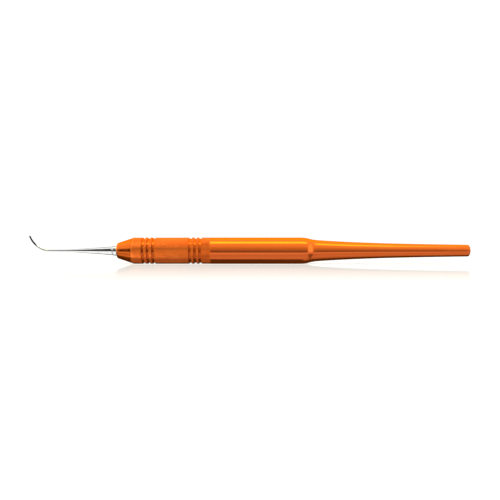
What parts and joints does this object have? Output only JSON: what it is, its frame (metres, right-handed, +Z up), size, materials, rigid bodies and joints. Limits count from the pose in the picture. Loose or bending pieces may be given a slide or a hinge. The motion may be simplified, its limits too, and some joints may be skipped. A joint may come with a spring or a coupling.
{
  "type": "dental explorer",
  "caption": "Single-ended dental explorer: a slim curved steel hook on a tapered shank, bonded into a turned, knurled and grooved aluminium handle with a long tapered tail.",
  "frame": {"origin": "under the middle of the instrument's whole length, on the surface that the barrel rests on", "axes": "+X along the handle towards the tail end, +Z up, towards the side that the hook is turned to; the hook lies in the plane y = 0"},
  "size_m": [0.167, 0.01, 0.0107],
  "materials": {
    "anodised_handle": "bright orange anodised, turned; diamond knurl on the grip",
    "polished_steel": "ground and polished stainless steel",
    "adhesive": "cured epoxy"
  },
  "bodies": {
    "root": {"handle": "anodised_handle", "working_end": "polished_steel", "adhesive_fill": "adhesive"}
  },
  "joints": []
}
